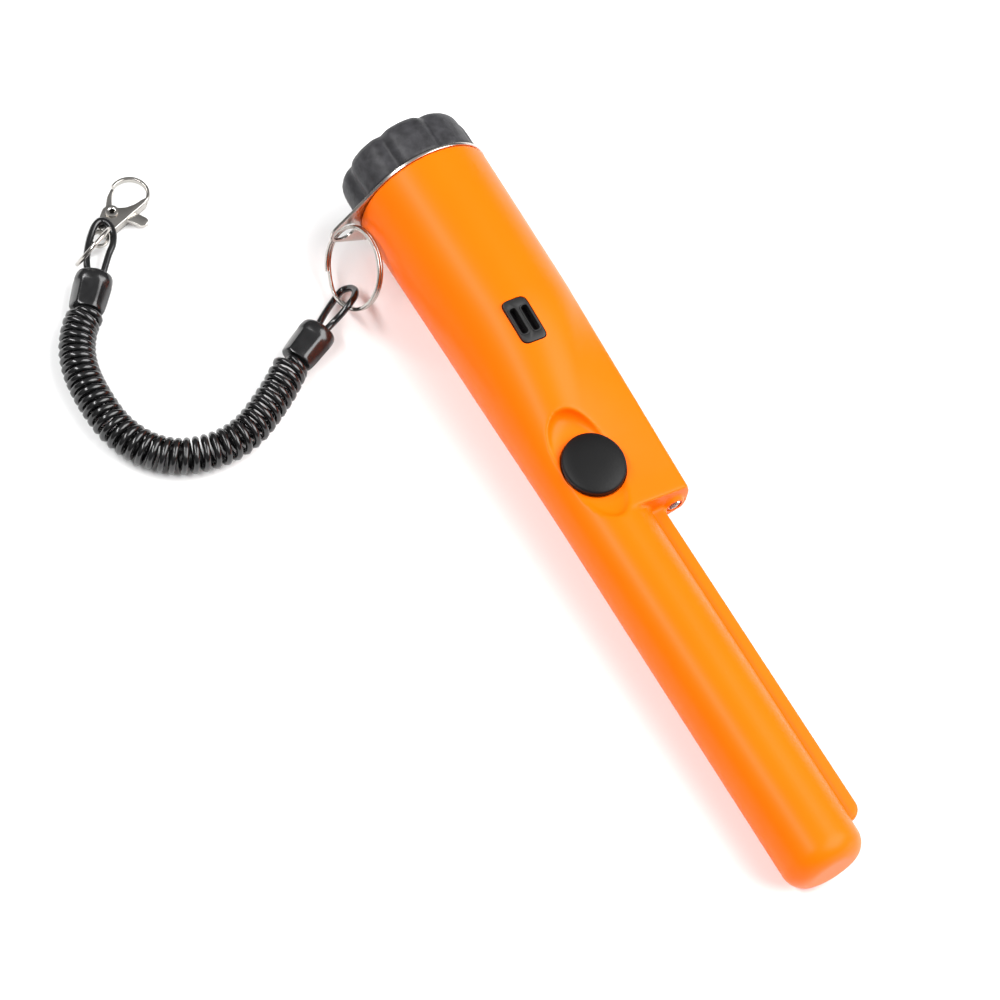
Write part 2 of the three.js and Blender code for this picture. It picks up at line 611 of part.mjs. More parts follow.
function claspSpring() {
  const middle = (gateLow + gateHigh) / 2;
  const points = [118, 135, 152, 170].map((angle) => [springRadius * Math.cos(rad(angle)),
    springRadius * Math.sin(rad(angle)), middle]);
  return part('clasp_spring', cordAlong(points, springWire, 6, 6), metalBright);
}

function linkRingMesh() {
  const ring = new THREE.TorusGeometry(linkRing.meanRadius, linkRing.wire / 2, 8, 32);
  const mesh = part('link_ring', solid(ring), metalBright);
  const normal = new THREE.Vector3(0.831, 0.405, -0.382).normalize();
  mesh.quaternion.setFromUnitVectors(new THREE.Vector3(0, 0, 1), normal);
  mesh.position.set(linkRing.x, linkRing.y, linkRing.z);
  return mesh;
}

// The whole object

const probe = new THREE.Group();
probe.add(bodyShell(), buttonPad(), switchBody(), switchPlunger(), grilleInsert(), soundGauze(), sounder(),
  batteryCase(), ...terminals(), snapConnector(), ...batteryLeads(), boardCarrier(), circuitBoard(),
  controlChip(), storageCapacitor(), ...vibrationMotor(), ...lampParts(), ...searchCoil(), batteryCap(),
  capSeal(), capPad(), lanyardWasher(), splitRing());
probe.rotation.y = lieAngle;
probe.position.set(-originX, -originY, axisHeight);

const clasp = new THREE.Group();
clasp.add(claspBody(), claspGate(), claspRivet(), claspSpring());
clasp.rotation.z = claspTurn;
clasp.position.set(rivetAt.x, rivetAt.y, rivetAt.z);

const lanyard = new THREE.Group();
lanyard.add(...lanyardCord(), linkRingMesh(), clasp);
lanyard.position.set(-originX, -originY, 0);

const group = new THREE.Group();
group.add(probe, lanyard);
group.updateMatrixWorld(true);

export default group;
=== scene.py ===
import math

import bmesh
import bpy
from mathutils import Matrix, Vector, geometry


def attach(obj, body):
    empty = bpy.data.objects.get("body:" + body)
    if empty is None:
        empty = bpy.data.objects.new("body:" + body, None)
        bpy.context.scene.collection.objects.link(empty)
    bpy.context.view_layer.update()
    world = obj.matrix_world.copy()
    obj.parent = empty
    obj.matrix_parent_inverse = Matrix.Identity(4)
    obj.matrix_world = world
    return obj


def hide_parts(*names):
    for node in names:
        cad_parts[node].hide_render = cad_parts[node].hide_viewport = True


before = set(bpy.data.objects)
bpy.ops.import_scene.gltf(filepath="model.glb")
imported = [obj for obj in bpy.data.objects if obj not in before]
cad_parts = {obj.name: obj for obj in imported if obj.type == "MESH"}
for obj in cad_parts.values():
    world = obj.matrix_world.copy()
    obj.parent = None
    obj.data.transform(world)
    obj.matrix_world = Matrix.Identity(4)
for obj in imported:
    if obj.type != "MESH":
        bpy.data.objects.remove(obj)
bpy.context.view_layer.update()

# Camera. The probe lies with its button up and its tip towards the lower right, and is seen
# steeply from above, from the side where the lanyard lies.
mm = 0.001
view_target = Vector((-15.1, -19.0, 8.3)) * mm
view_distance = 950 * mm
view_azimuth = math.radians(53.4)
view_height = math.radians(60.96)
view_roll = math.radians(7.09)
towards_camera = Vector((math.sin(view_azimuth) * math.cos(view_height),
                         -math.cos(view_azimuth) * math.cos(view_height),
                         math.sin(view_height)))
camera = bpy.data.objects.new("camera", bpy.data.cameras.new("camera"))
camera.data.lens = 132.2
camera.data.sensor_width = 36
camera.data.clip_end = 10
camera.location = view_target + towards_camera * view_distance
camera.rotation_euler = (towards_camera.to_track_quat("Z", "Y").to_matrix()
                         @ Matrix.Rotation(view_roll, 3, "Z")).to_euler()
bpy.context.collection.objects.link(camera)
bpy.context.scene.camera = camera

# Lanyard cord. One length of glossy black cord: a loop through the split ring, a close curly
# coil, and a loop for the snap hook. Its two ends are crimped inside the sleeves.
lanyard_shift = Vector((-114.68, 6.41, 0)) * mm
cord_diameter = 1.9 * mm
coil_radius = 4.05 * mm
close_pitch = 2.08 * mm
open_pitch = 2.62 * mm
opening_share = 0.66
opening_sharpness = 22
points_per_turn = 16


def black_gloss(name, tone, roughness):
    """Glossy black plastic with faint drawing lines and a slightly uneven skin."""
    made = bpy.data.materials.new(name)
    made.use_nodes = True
    nodes, links = made.node_tree.nodes, made.node_tree.links
    surface = nodes["Principled BSDF"]
    place = nodes.new("ShaderNodeTexCoord")
    flow = nodes.new("ShaderNodeTexNoise")
    flow.inputs["Scale"].default_value = 420
    flow.inputs["Detail"].default_value = 5
    links.new(place.outputs["Object"], flow.inputs["Vector"])
    shade = nodes.new("ShaderNodeValToRGB")
    shade.color_ramp.elements[0].position = 0.3
    shade.color_ramp.elements[0].color = (tone * 0.75, tone * 0.75, tone * 0.8, 1)
    shade.color_ramp.elements[1].position = 0.72
    shade.color_ramp.elements[1].color = (tone * 1.5, tone * 1.5, tone * 1.6, 1)
    links.new(flow.outputs["Fac"], shade.inputs["Fac"])
    links.new(shade.outputs["Color"], surface.inputs["Base Color"])
    gloss = nodes.new("ShaderNodeMapRange")
    gloss.inputs["To Min"].default_value = roughness * 0.8
    gloss.inputs["To Max"].default_value = roughness * 1.35
    links.new(flow.outputs["Fac"], gloss.inputs["Value"])
    links.new(gloss.outputs["Result"], surface.inputs["Roughness"])
    relief = nodes.new("ShaderNodeBump")
    relief.inputs["Strength"].default_value = 0.25
    relief.inputs["Distance"].default_value = 0.04 * mm
    links.new(flow.outputs["Fac"], relief.inputs["Height"])
    links.new(relief.outputs["Normal"], surface.inputs["Normal"])
    surface.inputs["Specular IOR Level"].default_value = 0.6
    return made


def along(points, share):
    """A place and a direction on the smooth curve through points, at a share of its way from 0 to 1."""
    span = min(int(share * (len(points) - 1)), len(points) - 2)
    t = share * (len(points) - 1) - span
    p1, p2 = points[span], points[span + 1]
    p0 = points[span - 1] if span > 0 else p1 * 2 - p2
    p3 = points[span + 2] if span + 2 < len(points) else p2 * 2 - p1
    spot = 0.5 * (p1 * 2 + (p2 - p0) * t + (p0 * 2 - p1 * 5 + p2 * 4 - p3) * t * t
                  + (p1 * 3 - p0 - p2 * 3 + p3) * t * t * t)
    way = 0.5 * ((p2 - p0) + (p0 * 2 - p1 * 5 + p2 * 4 - p3) * 2 * t
                 + (p1 * 3 - p0 - p2 * 3 + p3) * 3 * t * t)
    return spot, way.normalized()


def route(points):
    return [Vector(point) * mm + lanyard_shift for point in points]


def smoothed(points, count):
    return [along(points, i / (count - 1))[0] for i in range(count)]


near_loop = route([
    (33.4, -44.6, 5.2), (30.6, -41.6, 5.3),
    (28.4, -38.8, 5.2), (25.6, -35.2, 4.0), (22.4, -30.7, 2.3), (21.2, -28.3, 2.1), (22.5, -26.4, 3.8),
    (25.1, -26.5, 6.2), (27.6, -28.2, 8.0), (29.5, -30.8, 9.0), (30.5, -33.7, 7.8), (31.0, -36.4, 6.2),
    (31.9, -39.4, 5.5), (33.2, -43.4, 5.3), (35.2, -48.2, 5.2)])
coil_line = route([
    (36.4, -51, 5.2), (37.7, -53.3, 5.2), (41.4, -58.2, 5.2), (45.4, -64.6, 5.2), (48.8, -71.4, 5.2),
    (50.1, -78.6, 5.2), (49.2, -86, 5.2), (46.4, -92.4, 5.2), (41, -97.8, 5.2), (32.6, -101.6, 5.2),
    (22.6, -102.6, 5.2), (13.4, -102, 5.2), (6.4, -99.9, 5.2), (0.9, -96.5, 5.2), (-1.5, -94, 5.2),
    (-3.2, -92.5, 5.2)])
far_loop = route([
    (-5.4, -89.9, 5.2), (-8.4, -86.2, 5.3), (-11.6, -83, 5.4), (-16.2, -78.9, 5.4), (-18.9, -76.2, 5.3),
    (-22, -74.5, 5.2), (-25.1, -74.2, 5.3), (-27, -75.5, 5.4), (-26.5, -77.5, 5.4), (-24.3, -79.9, 5.4),
    (-21.4, -82.3, 5.4), (-18.2, -84.4, 5.4), (-14.7, -86, 5.4), (-12.2, -87.4, 5.3), (-8.8, -89.2, 5.2)])


def curled(line):
    """The helix of a curly cord round its middle line, opened where the bend is on its near half."""
    fine = smoothed(line, 400)
    turns_to = [0.0]
    for i in range(1, len(fine)):
        share = i / (len(fine) - 1)
        sharper = (share - opening_share) * opening_sharpness
        pitch = close_pitch + (open_pitch - close_pitch) / (1 + math.exp(sharper))
        turns_to.append(turns_to[-1] + (fine[i] - fine[i - 1]).length / pitch)
    made = []
    spot = 0
    for k in range(int(turns_to[-1] * points_per_turn) + 1):
        turn = k / points_per_turn
        while turns_to[spot + 1] < turn:
            spot += 1
        within = (turn - turns_to[spot]) / (turns_to[spot + 1] - turns_to[spot])
        share = (spot + within) / (len(fine) - 1)
        centre, way = along(line, share)
        side = way.cross(Vector((0, 0, 1))).normalized()
        ends = min(turn, turns_to[-1] - turn)
        radius = coil_radius * min(1, 0.35 + ends * 1.1)
        angle = turn * 2 * math.pi
        made.append(centre + radius * (math.cos(angle) * side + math.sin(angle) * Vector((0, 0, 1))))
    return made


cord_points = smoothed(near_loop, 70) + curled(coil_line) + smoothed(far_loop, 70)
cord_curve = bpy.data.curves.new("lanyard_cord", "CURVE")
cord_curve.dimensions = "3D"
cord_curve.bevel_depth = cord_diameter / 2
cord_curve.bevel_resolution = 4
cord_curve.use_fill_caps = True
cord_spline = cord_curve.splines.new("POLY")
cord_spline.points.add(len(cord_points) - 1)
for knot, spot in zip(cord_spline.points, cord_points):
    knot.co = (*spot, 1)
cord_spline.use_smooth = True
lanyard_cord = bpy.data.objects.new("lanyard_cord", cord_curve)
bpy.context.collection.objects.link(lanyard_cord)
cord_finish = black_gloss("cord_black_finish", 0.005, 0.17)
cord_curve.materials.append(cord_finish)
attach(lanyard_cord, "lanyard")
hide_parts("near_loop", "curly_cord", "far_loop")

# Crimped sleeves. Each is a black plastic ferrule over both legs of a cord loop: a plain round
# collar at the loop, then flats where the crimping jaws pressed it, narrowing to the coil.
sleeve_finish = black_gloss("sleeve_black_finish", 0.007, 0.2)


def piece(name, made, finish, body, replaced):
    """A finished mesh becomes a piece of the object that rides on a body."""
    mesh = bpy.data.meshes.new(name)
    bmesh.ops.recalc_face_normals(made, faces=made.faces)
    made.to_mesh(mesh)
    made.free()
    for face in mesh.polygons:
        face.use_smooth = True
    mesh.set_sharp_from_angle(angle=math.radians(38))
    mesh.materials.append(finish)
    thing = bpy.data.objects.new(name, mesh)
    bpy.context.collection.objects.link(thing)
    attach(thing, body)
    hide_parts(*replaced)
    return thing


def skin(made, rings, closed_ends=True):
    """Faces between rings of points, each with the same count, and flat ends."""
    rows = [[made.verts.new(point) for point in ring] for ring in rings]
    count = len(rows[0])
    for low, high in zip(rows, rows[1:]):
        for i in range(count):
            j = (i + 1) % count
            made.faces.new((low[i], low[j], high[j], high[i]))
    if closed_ends:
        made.faces.new(rows[0])
        made.faces.new(rows[-1])
    return rows


crimp_depth = 0.7
crimp_width = 1.06
sleeve_steps = 64


def crimped_sleeve(name, loop_end, coil_end):
    start, finish_at = route([loop_end, coil_end])
    axis = (finish_at - start).normalized()
    side = axis.cross(Vector((0, 0, 1))).normalized()
    rise = side.cross(axis)
    # distance from the loop end, half width, half height, share of the full crimp
    stations = [(0.0, 3.9, 3.1, 0), (0.12, 4.35, 3.5, 0), (0.45, 4.75, 3.85, 0), (1.0, 5.0, 4.05, 0),
                (2.0, 5.15, 4.15, 0), (3.0, 5.16, 4.14, 0.05), (3.5, 5.12, 4.0, 0.45),
                (4.0, 5.08, 3.92, 0.8), (5.5, 4.98, 3.86, 0.9), (8.0, 4.86, 3.84, 0.9),
                (10.2, 4.74, 3.82, 0.85), (10.9, 4.7, 3.8, 0.6), (11.3, 4.62, 3.76, 0.4),
                (11.6, 4.4, 3.6, 0.2), (11.7, 4.1, 3.3, 0.1)]
    rings = []
    for distance, half_width, half_height, pressed in stations:
        ring = []
        for i in range(sleeve_steps):
            angle = i * 2 * math.pi / sleeve_steps
            flat = math.cos(math.pi / 6) / math.cos(angle % (math.pi / 3) - math.pi / 6)
            reach = 1 + crimp_depth * pressed * (flat * crimp_width - 1)
            ring.append(start + axis * distance * mm + side * half_width * mm * reach * math.cos(angle)
                        + rise * half_height * mm * reach * math.sin(angle))
        rings.append(ring)
    made = bmesh.new()
    skin(made, rings)
    return piece(name + "_crimp", made, sleeve_finish, "lanyard", [name])


near_crimp = crimped_sleeve("near_sleeve", (30.7, -40.2, 5.1), (36, -50.3, 5.2))
far_crimp = crimped_sleeve("far_sleeve", (-12.7, -84.7, 5.1), (-3.9, -91.9, 5.2))

# Link ring. A small ring of plated wire that joins the cord's far loop to the snap hook's eye.
# Its ends are butted and brazed before plating, so no gap shows.


def plated_metal(name, tone, roughness, scratch_scale=900):
    """Nickel plate: bright, with a slight cloud in its gloss and hairline rubs."""
    made = bpy.data.materials.new(name)
    made.use_nodes = True
    nodes, links = made.node_tree.nodes, made.node_tree.links
    surface = nodes["Principled BSDF"]
    surface.inputs["Metallic"].default_value = 1
    place = nodes.new("ShaderNodeTexCoord")
    cloud = nodes.new("ShaderNodeTexNoise")
    cloud.inputs["Scale"].default_value = 160
    cloud.inputs["Detail"].default_value = 4
    links.new(place.outputs["Object"], cloud.inputs["Vector"])
    stretch = nodes.new("ShaderNodeMapping")
    stretch.inputs["Scale"].default_value = (1, 0.12, 1)
    links.new(place.outputs["Object"], stretch.inputs["Vector"])
    rubs = nodes.new("ShaderNodeTexNoise")
    rubs.inputs["Scale"].default_value = scratch_scale
    rubs.inputs["Detail"].default_value = 6
    links.new(stretch.outputs["Vector"], rubs.inputs["Vector"])
    shade = nodes.new("ShaderNodeValToRGB")
    shade.color_ramp.elements[0].position = 0.3
    shade.color_ramp.elements[0].color = (*[channel * 0.86 for channel in tone], 1)
    shade.color_ramp.elements[1].position = 0.7
    shade.color_ramp.elements[1].color = (*tone, 1)
    links.new(cloud.outputs["Fac"], shade.inputs["Fac"])
    links.new(shade.outputs["Color"], surface.inputs["Base Color"])
    gloss = nodes.new("ShaderNodeMapRange")
    gloss.inputs["To Min"].default_value = roughness * 0.7
    gloss.inputs["To Max"].default_value = roughness * 1.5
    links.new(cloud.outputs["Fac"], gloss.inputs["Value"])
    links.new(gloss.outputs["Result"], surface.inputs["Roughness"])
    relief = nodes.new("ShaderNodeBump")
    relief.inputs["Strength"].default_value = 0.12
    relief.inputs["Distance"].default_value = 0.02 * mm
    links.new(rubs.outputs["Fac"], relief.inputs["Height"])
    links.new(relief.outputs["Normal"], surface.inputs["Normal"])
    return made


bright_plate = plated_metal("bright_plate", (0.5, 0.47, 0.44), 0.18)


def swept(made, path, section, closed):
    """Carries a small section of (across, up) points along a path of (place, across, up)."""
    rings = []
    for place, across, up in path:
        rings.append([place + across * a + up * b for a, b in section])
    rows = skin(made, rings, closed_ends=not closed)
    if closed:
        count = len(section)
        for i in range(count):
            j = (i + 1) % count
            made.faces.new((rows[-1][i], rows[-1][j], rows[0][j], rows[0][i]))


def round_section(radius, count=16):
    return [(radius * math.cos(i * 2 * math.pi / count), radius * math.sin(i * 2 * math.pi / count))
            for i in range(count)]


link_radius = 6.4 * mm
link_wire_radius = 0.6 * mm
link_steps = 96
link_centre = route([(-19.7, -81.6, 7)])[0]
link_normal = Vector((0.831, 0.405, -0.382)).normalized()
link_across = link_normal.cross(Vector((0, 0, 1))).normalized()
link_up = link_across.cross(link_normal)
link_path = []
for i in range(link_steps):
    angle = i * 2 * math.pi / link_steps
    outward = link_across * math.cos(angle) + link_up * math.sin(angle)
    link_path.append((link_centre + outward * link_radius, outward, link_normal))
link_mesh = bmesh.new()
swept(link_mesh, link_path, round_section(link_wire_radius), True)
link_wire = piece("link_wire", link_mesh, bright_plate, "link", ["link_ring"])

# Snap hook. Die-cast and nickel plated: a thin bow, a boxed pair of cheeks with a straight
# spine, a gate and thumb lever in one piece, and the hollow rivet that the gate turns on.
clasp_turn = math.atan2(0.903, -0.43)
clasp_place = Matrix.Translation(route([(-29.15, -71.25, 0.5)])[0]) @ Matrix.Rotation(clasp_turn, 4, "Z")
clasp_plate = plated_metal("clasp_plate", (0.5, 0.48, 0.45), 0.2, 600)


def arc(centre_x, centre_y, radius, start, end, count):
    """Points on an arc, from one angle to another in degrees."""
    return [(centre_x + radius * math.cos(math.radians(start + (end - start) * i / (count - 1))),
             centre_y + radius * math.sin(math.radians(start + (end - start) * i / (count - 1))))
            for i in range(count)]


def rounded_outline(corners, radius, steps=5):
    """A closed outline with each corner turned into a small arc."""
    made = []
    count = len(corners)
    for i, corner in enumerate(corners):
        here = Vector(corner)
        before = Vector(corners[i - 1]) - here
        after = Vector(corners[(i + 1) % count]) - here
        reach = min(radius, before.length * 0.45, after.length * 0.45)
        first, last = here + before.normalized() * reach, here + after.normalized() * reach
        for k in range(steps + 1):
            t = k / steps
            made.append(tuple(first * (1 - t) ** 2 + here * 2 * t * (1 - t) + last * t ** 2))
    return made


def outline_area(outline):
    return sum(a[0] * b[1] - b[0] * a[1] for a, b in zip(outline, outline[1:] + outline[:1])) / 2


def plate(made, outlines, low, high, edge, place):
    """A flat plate in mm, the first outline outside and the rest holes, with rounded edges."""
    levels = [(edge, low), (edge * 0.3, low + edge * 0.3), (0, low + edge), (0, high - edge),
              (edge * 0.3, high - edge * 0.3), (edge, high)]
    ends = ([], [])
    for number, outline in enumerate(outlines):
        outline = [tuple(point) for point in outline]
        if (outline_area(outline) > 0) == (number > 0):
            outline.reverse()
        count = len(outline)
        normals = []
        for i in range(count):
            way = Vector(outline[(i + 1) % count]) - Vector(outline[i - 1])
            normals.append(Vector((way.y, -way.x)).normalized())
        rings = [[place @ (Vector((x - n.x * inset, y - n.y * inset, z)) * mm)
                  for (x, y), n in zip(outline, normals)] for inset, z in levels]
        rows = skin(made, rings, closed_ends=False)
        flat = [Vector((x - n.x * edge, y - n.y * edge, 0)) for (x, y), n in zip(outline, normals)]
        ends[0].append(flat)
        ends[1].append((rows[0], rows[-1]))
    low_verts = [vert for rows in ends[1] for vert in rows[0]]
    high_verts = [vert for rows in ends[1] for vert in rows[1]]
    for a, b, c in geometry.tessellate_polygon(ends[0]):
        made.faces.new((low_verts[a], low_verts[b], low_verts[c]))
        made.faces.new((high_verts[a], high_verts[b], high_verts[c]))


clasp_mesh = bmesh.new()
cheek = [(9.7, -4.9), (8, -5.5), (-4.2, -3.9), (-6.2, -3.7), (-6.4, 0.4), (-2.6, 1.9),
         (-0.6, 2.6), (1.4, 2), (1.9, -0.4), (3.4, -2.2), (5.6, -3.5), (8.3, -4.3)]
for cheek_low, cheek_high in ((0, 0.9), (2.5, 3.4)):
    plate(clasp_mesh, [rounded_outline(cheek, 0.7), arc(0, 0, 1.15, 0, 345, 24)], cheek_low, cheek_high,
          0.22, clasp_place)
spine = [(9.4, -4.95), (8, -5.5), (-4.2, -3.9), (-6.1, -3.7), (-6.1, -2.9), (-4.2, -3.05), (8, -4.65)]
plate(clasp_mesh, [rounded_outline(spine, 0.25)], 0.15, 3.25, 0.2, clasp_place)
bow_radius = 5.05
bow_steps = 40
bow_start, bow_end = -84, 98
bow_path = []
for i in range(bow_steps + 1):
    angle = math.radians(bow_start + i * (bow_end - bow_start) / bow_steps)
    outward = Vector((math.cos(angle), math.sin(angle), 0))
    spot = Vector((7.9 + bow_radius * outward.x, 0.1 + bow_radius * outward.y, 1.7)) * mm
    bow_path.append((clasp_place @ spot, clasp_place.to_3x3() @ outward, Vector((0, 0, 1))))
bow_section = [(0.52 * mm * math.copysign(abs(math.cos(a)) ** 0.6, math.cos(a)),
                0.95 * mm * math.copysign(abs(math.sin(a)) ** 0.6, math.sin(a)))
               for a in [i * 2 * math.pi / 20 for i in range(20)]]
swept(clasp_mesh, bow_path, bow_section, False)
plate(clasp_mesh, [arc(-8.7, -2.4, 2.75, 0, 352, 44), arc(-8.7, -2.4, 1.85, 0, 350, 36)], 2.2, 3.4, 0.3,
      clasp_place)
clasp_cast = piece("clasp_cast", clasp_mesh, clasp_plate, "clasp", ["clasp_body"])

gate_low, gate_high = 1.05, 2.35
gate_mesh = bmesh.new()
gate_outline = [(-0.8, -1.2), (-1.9, 0.2), (-0.9, 1.8), (3.6, 4.4), (6.4, 5.15), (6.6, 4.1),
                (4.3, 3.3), (1.6, 1.1), (1.9, -1), (4.2, -5), (4.6, -8.6), (3.9, -9.5),
                (2.6, -9.7), (1.5, -8.7), (0.9, -5.2)]
plate(gate_mesh, [rounded_outline(gate_outline, 0.8), arc(0, 0, 1.2, 0, 345, 24)], gate_low, gate_high,
      0.3, clasp_place)
clasp_gate = piece("gate_and_lever", gate_mesh, clasp_plate, "gate", ["clasp_gate"])


def lathe(made, profile, place, count=48, closed=False):
    """Turns (distance, radius) pairs in mm about an axis: place takes Z to that axis."""
    rings = []
    for distance, radius in profile:
        rings.append([place @ (Vector((radius * math.cos(i * 2 * math.pi / count),
                                       radius * math.sin(i * 2 * math.pi / count), distance)) * mm)
                      for i in range(count)])
    rows = skin(made, rings, closed_ends=not closed)
    if closed:
        for i in range(count):
            j = (i + 1) % count
            made.faces.new((rows[-1][i], rows[-1][j], rows[0][j], rows[0][i]))


rivet_mesh = bmesh.new()
lathe(rivet_mesh, [(-0.3, 0.7), (-0.35, 0.9), (-0.35, 1.3), (-0.3, 1.5), (-0.1, 1.5), (-0.1, 0.98),
                   (3.44, 0.98), (3.46, 1.7), (3.6, 1.86), (3.75, 1.78), (3.85, 1.4), (3.82, 1.0),
                   (3.6, 0.75), (2.6, 0.66)],
      clasp_place, 40, closed=True)
clasp_rivet = piece("hollow_rivet", rivet_mesh, clasp_plate, "clasp", ["clasp_rivet"])

spring_mesh = bmesh.new()
spring_radius = 2.5
spring_steps = 40
spring_path = []
for i in range(spring_steps + 1):
    angle = math.radians(118 + i * 52 / spring_steps)
    outward = clasp_place.to_3x3() @ Vector((math.cos(angle), math.sin(angle), 0))
    spring_path.append((clasp_place @ Vector((0, 0, 1.7 * mm)) + outward * spring_radius * mm, outward,
                        Vector((0, 0, 1))))
swept(spring_mesh, spring_path, round_section(0.24 * mm, 10), False)
gate_spring = piece("gate_spring", spring_mesh, clasp_plate, "clasp", ["clasp_spring"])

# Ground and light. A plain pale floor, a broad soft light high on the keel side, a narrow one
# along the other side that draws a pale band down the body, and a dim surround.
floor_finish = bpy.data.materials.new("floor_finish")
floor_finish.use_nodes = True
floor_nodes = floor_finish.node_tree.nodes
floor_grain = floor_nodes.new("ShaderNodeTexNoise")
floor_grain.inputs["Scale"].default_value = 60
floor_shade = floor_nodes.new("ShaderNodeValToRGB")
floor_shade.color_ramp.elements[0].color = (0.86, 0.86, 0.86, 1)
floor_shade.color_ramp.elements[1].color = (0.88, 0.88, 0.88, 1)
floor_finish.node_tree.links.new(floor_grain.outputs["Fac"], floor_shade.inputs["Fac"])
floor_surface = floor_nodes["Principled BSDF"]
floor_finish.node_tree.links.new(floor_shade.outputs["Color"], floor_surface.inputs["Base Color"])
floor_surface.inputs["Roughness"].default_value = 0.9
floor_mesh = bpy.data.meshes.new("floor")
floor_half = 4
floor_corners = [(-floor_half, -floor_half, 0), (floor_half, -floor_half, 0),
                 (floor_half, floor_half, 0), (-floor_half, floor_half, 0)]
floor_mesh.from_pydata(floor_corners, [], [(0, 1, 2, 3)])
floor_mesh.materials.append(floor_finish)
floor = bpy.data.objects.new("floor", floor_mesh)
floor.location.z = -0.05 * mm
bpy.context.collection.objects.link(floor)


def soft_light(name, spot, size, power, turned=0):
    lamp = bpy.data.lights.new(name, "AREA")
    lamp.shape = "RECTANGLE"
    lamp.size, lamp.size_y = size
    lamp.energy = power
    holder = bpy.data.objects.new(name, lamp)
    holder.location = spot
    holder.rotation_euler = (Vector(spot).to_track_quat("Z", "Y").to_matrix()
                             @ Matrix.Rotation(math.radians(turned), 3, "Z")).to_euler()
    bpy.context.collection.objects.link(holder)


soft_light("key_light", (0.56, 0.86, 1.26), (1.7, 1.3), 50)
soft_light("band_light", (-0.3, -0.5, 0.82), (1.2, 0.13), 10, 24)
surround = bpy.data.worlds.new("surround")
surround.use_nodes = True
sky = surround.node_tree.nodes
sky_place = sky.new("ShaderNodeTexCoord")
sky_parts = sky.new("ShaderNodeSeparateXYZ")
surround.node_tree.links.new(sky_place.outputs["Generated"], sky_parts.inputs["Vector"])
sky_shade = sky.new("ShaderNodeValToRGB")
sky_shade.color_ramp.elements[0].position = 0.1
sky_shade.color_ramp.elements[0].color = (0.12, 0.12, 0.12, 1)
sky_shade.color_ramp.elements[1].position = 0.9
sky_shade.color_ramp.elements[1].color = (0.55, 0.55, 0.55, 1)
surround.node_tree.links.new(sky_parts.outputs["Z"], sky_shade.inputs["Fac"])
surround.node_tree.links.new(sky_shade.outputs["Color"], sky["Background"].inputs["Color"])
sky["Background"].inputs["Strength"].default_value = 0.66
bpy.context.scene.world = surround
bpy.context.scene.view_settings.view_transform = "Standard"

# Body shell. One orange moulding: a round grip that tapers to the search rod, a keel down the
# far side that ends in a step, a scraper ridge along the rod, and a scooped seat for the button.
length = 230
tip_rounding = 5.5
grip_radius = 19
grip_end_radius = 18.4
grip_end = 58
taper_end = 118
rod_radius = 10.95
rod_side = 18.05
step_x = 124.8
wall = 2
bore_radius = 16.6
washer_x = 13.3
mouth_x = 14.1
keel_half_start = 8.2
keel_half_end = 5.8
keel_fall = 0.038
fine_steps = 720
lie_angle = math.atan2(grip_end_radius - rod_radius, length - tip_rounding - grip_end)
axis_height = grip_end_radius * math.cos(lie_angle) + grip_end * math.sin(lie_angle)
laid_down = (Matrix.Translation(lanyard_shift + Vector((0, 0, axis_height * mm)))
             @ Matrix.Rotation(lie_angle, 4, "Y"))


def smooth_step(t):
    t = min(max(t, 0), 1)
    return t * t * (3 - 2 * t)


def body_section(x, inset=0, count=144):
    """The section at x, evenly spaced: the tightest outline round the grip and the keel's arc."""
    along_taper = min(max((x - grip_end) / (taper_end - grip_end), 0), 1)
    s = smooth_step(along_taper)
    if x < grip_end:
        radius = grip_end_radius + (grip_radius - grip_end_radius) * (grip_end - x) / (grip_end - mouth_x)
        side = radius
    else:
        radius = grip_end_radius + (rod_radius - grip_end_radius) * s
        side = grip_end_radius + (rod_side - grip_end_radius) * along_taper
    centre = radius - side
    keel = grip_end_radius - keel_fall * (x - grip_end) if x > grip_end else radius
    half = keel_half_start + (keel_half_end - keel_half_start) * along_taper
    step = 2 * math.pi / fine_steps
    reach = []
    for i in range(fine_steps):
        angle = i * step
        circle = radius - inset + centre * math.cos(angle)
        keel_angle = math.asin(min(1, half / keel))
        turn = abs((angle + math.pi) % (2 * math.pi) - math.pi)
        keel_reach = (keel - inset) * (1 if turn < keel_angle else math.cos(turn - keel_angle))
        reach.append(max(circle, keel_reach))
    outline = []
    for i in range(fine_steps):
        angle = i * step
        slope = (reach[(i + 1) % fine_steps] - reach[i - 1]) / (2 * step)
        outline.append((reach[i] * math.cos(angle) - slope * math.sin(angle),
                        reach[i] * math.sin(angle) + slope * math.cos(angle)))
    spacing = [0]
    for i in range(fine_steps):
        a, b = outline[i], outline[(i + 1) % fine_steps]
        spacing.append(spacing[-1] + math.hypot(b[0] - a[0], b[1] - a[1]))
    ring = []
    at = 0
    for k in range(count):
        want = spacing[-1] * k / count
        while spacing[at + 1] < want:
            at += 1
        t = (want - spacing[at]) / max(spacing[at + 1] - spacing[at], 1e-9)
        a, b = outline[at], outline[(at + 1) % fine_steps]
        ring.append(Vector((x, a[0] + (b[0] - a[0]) * t, a[1] + (b[1] - a[1]) * t)) * mm)
    return ring


def as_object(name, made):
    """A helper solid, used to build another and then thrown away."""
    mesh = bpy.data.meshes.new(name)
    bmesh.ops.recalc_face_normals(made, faces=made.faces)
    made.to_mesh(mesh)
    made.free()
    thing = bpy.data.objects.new(name, mesh)
    bpy.context.collection.objects.link(thing)
    return thing


def applied(thing):
    """The mesh that a helper solid's modifiers give."""
    view = bpy.context.evaluated_depsgraph_get()
    mesh = bpy.data.meshes.new_from_object(thing.evaluated_get(view))
    thing.modifiers.clear()
    old = thing.data
    thing.data = mesh
    bpy.data.meshes.remove(old)
    return thing


